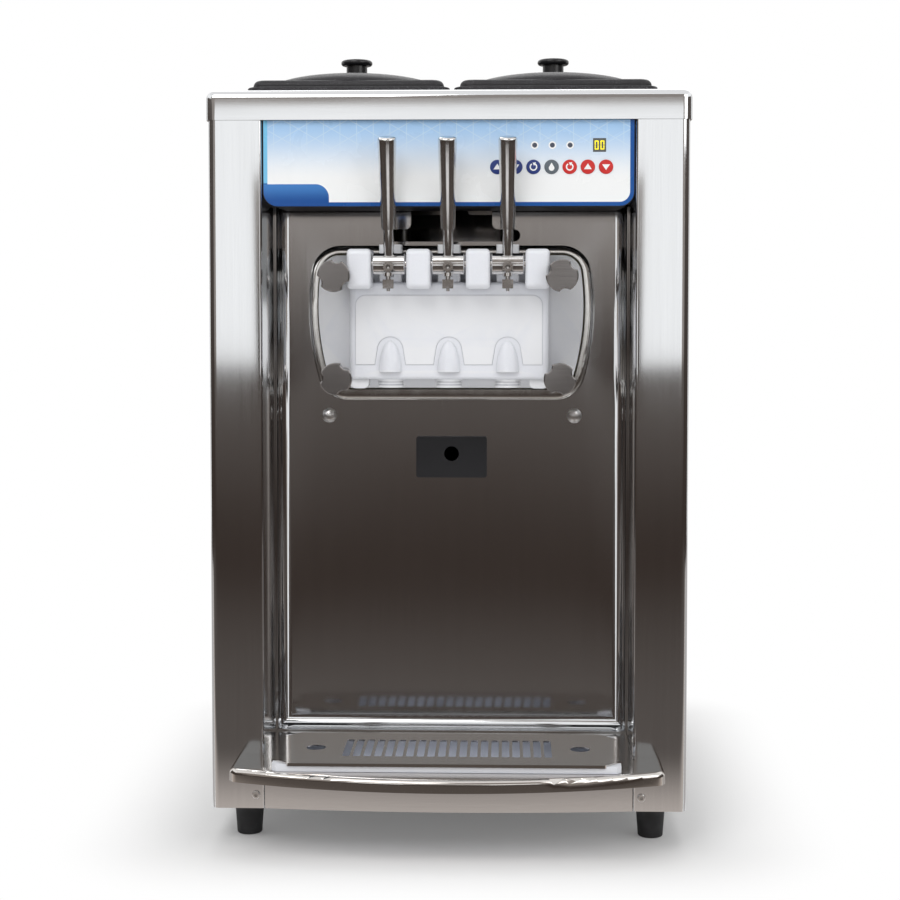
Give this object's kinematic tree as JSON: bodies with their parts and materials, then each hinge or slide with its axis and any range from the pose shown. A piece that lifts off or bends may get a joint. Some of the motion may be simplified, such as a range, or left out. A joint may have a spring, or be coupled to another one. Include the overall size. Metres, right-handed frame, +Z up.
{
  "type": "ice cream maker",
  "caption": "Countertop soft-serve ice cream machine: steel cabinet with lidded mix hoppers, lever-operated draw door for separate and twisted flavours, key panel, drip drawer and drip tray.",
  "frame": {"origin": "on the counter, under the middle of the overall box", "axes": "+Z up, the serving side faces -Y, +X to the right as seen from the front"},
  "size_m": [0.54, 0.7372, 0.9136],
  "materials": {
    "brushed_steel": "fine vertical brushing",
    "polished_steel": "polished",
    "inner_steel": "mill finish",
    "door_white": "satin moulded",
    "tray_white": "moulded",
    "black_moulding": "leather grain",
    "black_knob": "smooth",
    "fascia_grey": "moulded",
    "overlay_print": "printed film",
    "display_dark": "lens",
    "key_blue": "satin",
    "key_grey": "satin",
    "key_red": "satin",
    "board_green": "lacquered",
    "rubber": "moulded",
    "insulation": "foam, counted as a light filling",
    "drive_grey": "painted",
    "compressor_black": "painted",
    "fin_aluminium": "bare fins",
    "gasket_rubber": "moulded"
  },
  "bodies": {
    "cabinet": {"base_pan": "inner_steel", "feet": "rubber", "left_side_panel": "brushed_steel", "right_side_panel": "brushed_steel", "rear_panel": "brushed_steel", "top_cover": "brushed_steel", "splash_panel": "brushed_steel", "door_surround": "polished_steel", "control_fascia": "fascia_grey", "control_overlay": "overlay_print", "display_and_lamps": "display_dark", "control_board": "board_green", "front_rail": "brushed_steel", "drip_shelf": "brushed_steel", "panel_screws": "polished_steel", "drawer_sleeve": "inner_steel", "left_hopper": "inner_steel", "right_hopper": "inner_steel", "mix_feed_tubes": "inner_steel", "freezing_barrels": "inner_steel", "barrel_jacket": "insulation", "gear_motors": "drive_grey", "compressor": "compressor_black", "condenser": "fin_aluminium", "fan_motor": "drive_grey", "power_inlet": "black_moulding", "draw_door": "door_white", "door_gaskets": "gasket_rubber", "outlet_nozzles": "door_white", "pivot_rod": "polished_steel"},
    "handle_left": {"handle_lever_left": "polished_steel", "handle_grip_left": "polished_steel"},
    "plunger_left": {"draw_plunger_left": "door_white"},
    "handle_centre": {"handle_lever_centre": "polished_steel", "handle_grip_centre": "polished_steel"},
    "plunger_centre": {"draw_plunger_centre": "door_white"},
    "handle_right": {"handle_lever_right": "polished_steel", "handle_grip_right": "polished_steel"},
    "plunger_right": {"draw_plunger_right": "door_white"},
    "left_beater": {"left_beater": "inner_steel"},
    "right_beater": {"right_beater": "inner_steel"},
    "fan": {"fan_blade": "black_moulding"},
    "left_lid": {"left_lid": "black_moulding", "left_lid_knob": "black_knob"},
    "right_lid": {"right_lid": "black_moulding", "right_lid_knob": "black_knob"},
    "drip_tray": {"drip_tray": "tray_white"},
    "tray_grille": {"tray_grille": "brushed_steel"},
    "drip_drawer": {"drip_drawer": "black_moulding"},
    "hand_screw_top_left": {"hand_screw_top_left": "polished_steel"},
    "hand_screw_top_right": {"hand_screw_top_right": "polished_steel"},
    "hand_screw_bottom_left": {"hand_screw_bottom_left": "polished_steel"},
    "hand_screw_bottom_right": {"hand_screw_bottom_right": "polished_steel"},
    "key_1": {"key_1": "key_blue"},
    "key_2": {"key_2": "key_blue"},
    "key_3": {"key_3": "key_blue"},
    "key_4": {"key_4": "key_grey"},
    "key_5": {"key_5": "key_red"},
    "key_6": {"key_6": "key_red"},
    "key_7": {"key_7": "key_red"}
  },
  "joints": [
    {"name": "handle_left_pull", "type": "hinge", "parent": "cabinet", "child": "handle_left", "pos_m": [-0.0662, -0.2536, 0.6543], "axis": [1, 0, 0], "range_deg": [0, 45]},
    {"name": "plunger_left_lift", "type": "slide", "parent": "cabinet", "child": "plunger_left", "axis": [0, 0, 1], "range_m": [0, 0.021]},
    {"name": "handle_centre_pull", "type": "hinge", "parent": "cabinet", "child": "handle_centre", "pos_m": [0, -0.2536, 0.6543], "axis": [1, 0, 0], "range_deg": [0, 45]},
    {"name": "plunger_centre_lift", "type": "slide", "parent": "cabinet", "child": "plunger_centre", "axis": [0, 0, 1], "range_m": [0, 0.021]},
    {"name": "handle_right_pull", "type": "hinge", "parent": "cabinet", "child": "handle_right", "pos_m": [0.0662, -0.2536, 0.6543], "axis": [1, 0, 0], "range_deg": [0, 45]},
    {"name": "plunger_right_lift", "type": "slide", "parent": "cabinet", "child": "plunger_right", "axis": [0, 0, 1], "range_m": [0, 0.021]},
    {"name": "left_beater_spin", "type": "hinge", "parent": "cabinet", "child": "left_beater", "pos_m": [-0.0662, -0.0506, 0.59], "axis": [0, 1, 0], "continuous": true},
    {"name": "right_beater_spin", "type": "hinge", "parent": "cabinet", "child": "right_beater", "pos_m": [0.0662, -0.0506, 0.59], "axis": [0, 1, 0], "continuous": true},
    {"name": "fan_spin", "type": "hinge", "parent": "cabinet", "child": "fan", "pos_m": [0, 0.2686, 0.172], "axis": [0, 1, 0], "continuous": true},
    {"name": "left_lid_lift", "type": "slide", "parent": "cabinet", "child": "left_lid", "axis": [0, 0, 1], "range_m": [0, 0.2]},
    {"name": "right_lid_lift", "type": "slide", "parent": "cabinet", "child": "right_lid", "axis": [0, 0, 1], "range_m": [0, 0.2]},
    {"name": "drip_tray_lift", "type": "slide", "parent": "cabinet", "child": "drip_tray", "axis": [0, 0, 1], "range_m": [0, 0.15]},
    {"name": "tray_grille_lift", "type": "slide", "parent": "drip_tray", "child": "tray_grille", "axis": [0, 0, 1], "range_m": [0, 0.1]},
    {"name": "drip_drawer_slide", "type": "slide", "parent": "cabinet", "child": "drip_drawer", "axis": [0, -1, 0], "range_m": [0, 0.15]},
    {"name": "hand_screw_top_left_turn", "type": "hinge", "parent": "cabinet", "child": "hand_screw_top_left", "pos_m": [-0.126, -0.1786, 0.6408], "axis": [0, -1, 0], "continuous": true},
    {"name": "hand_screw_top_right_turn", "type": "hinge", "parent": "cabinet", "child": "hand_screw_top_right", "pos_m": [0.126, -0.1786, 0.6408], "axis": [0, -1, 0], "continuous": true},
    {"name": "hand_screw_bottom_left_turn", "type": "hinge", "parent": "cabinet", "child": "hand_screw_bottom_left", "pos_m": [-0.124, -0.1786, 0.5266], "axis": [0, -1, 0], "continuous": true},
    {"name": "hand_screw_bottom_right_turn", "type": "hinge", "parent": "cabinet", "child": "hand_screw_bottom_right", "pos_m": [0.124, -0.1786, 0.5266], "axis": [0, -1, 0], "continuous": true},
    {"name": "key_1_press", "type": "slide", "parent": "cabinet", "child": "key_1", "axis": [0, 1, 0], "range_m": [0, 0.0007], "stiffness_N_per_m": 800},
    {"name": "key_2_press", "type": "slide", "parent": "cabinet", "child": "key_2", "axis": [0, 1, 0], "range_m": [0, 0.0007], "stiffness_N_per_m": 800},
    {"name": "key_3_press", "type": "slide", "parent": "cabinet", "child": "key_3", "axis": [0, 1, 0], "range_m": [0, 0.0007], "stiffness_N_per_m": 800},
    {"name": "key_4_press", "type": "slide", "parent": "cabinet", "child": "key_4", "axis": [0, 1, 0], "range_m": [0, 0.0007], "stiffness_N_per_m": 800},
    {"name": "key_5_press", "type": "slide", "parent": "cabinet", "child": "key_5", "axis": [0, 1, 0], "range_m": [0, 0.0007], "stiffness_N_per_m": 800},
    {"name": "key_6_press", "type": "slide", "parent": "cabinet", "child": "key_6", "axis": [0, 1, 0], "range_m": [0, 0.0007], "stiffness_N_per_m": 800},
    {"name": "key_7_press", "type": "slide", "parent": "cabinet", "child": "key_7", "axis": [0, 1, 0], "range_m": [0, 0.0007], "stiffness_N_per_m": 800}
  ],
  "couplings": [
    {"joint": "plunger_left_lift", "follows": "handle_left_pull", "m_per_rad": 0.0263},
    {"joint": "plunger_centre_lift", "follows": "handle_centre_pull", "m_per_rad": 0.0263},
    {"joint": "plunger_right_lift", "follows": "handle_right_pull", "m_per_rad": 0.0263}
  ]
}
